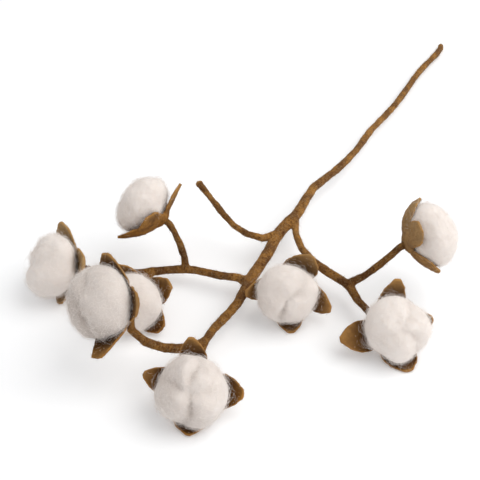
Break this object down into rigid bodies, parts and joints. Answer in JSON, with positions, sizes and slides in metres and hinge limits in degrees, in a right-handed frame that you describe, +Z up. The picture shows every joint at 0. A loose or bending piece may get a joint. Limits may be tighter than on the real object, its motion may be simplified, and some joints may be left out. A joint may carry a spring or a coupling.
{
  "type": "cotton stem bunch",
  "caption": "Branching stem of felted-wool cotton bolls, each on a cross of brown sepals, with wires inside, for bouquets, wreaths and dry arrangements.",
  "frame": {"origin": "middle of the bunch's bounding box on the plane that it lies on", "axes": "+Y along the main stem towards its cut end, +Z up from the plane that the bunch lies on, +X to the side with the two right-hand blooms"},
  "size_m": [0.3008, 0.6092, 0.0867],
  "materials": {
    "brown_felt": "matte needle-felted wool",
    "white_wool": "matte fluffy wool",
    "steel_wire": "plain drawn wire"
  },
  "bodies": {
    "root": {"stem": "brown_felt", "wire_armature": "steel_wire", "boll_front": "white_wool", "calyx_front": "brown_felt", "boll_right_low": "white_wool", "calyx_right_low": "brown_felt", "boll_middle": "white_wool", "calyx_middle": "brown_felt", "boll_left_low": "white_wool", "calyx_left_low": "brown_felt", "boll_left_raised": "white_wool", "calyx_left_raised": "brown_felt", "boll_left_end": "white_wool", "calyx_left_end": "brown_felt", "boll_left_top": "white_wool", "calyx_left_top": "brown_felt", "boll_right_top": "white_wool", "calyx_right_top": "brown_felt"}
  },
  "joints": []
}
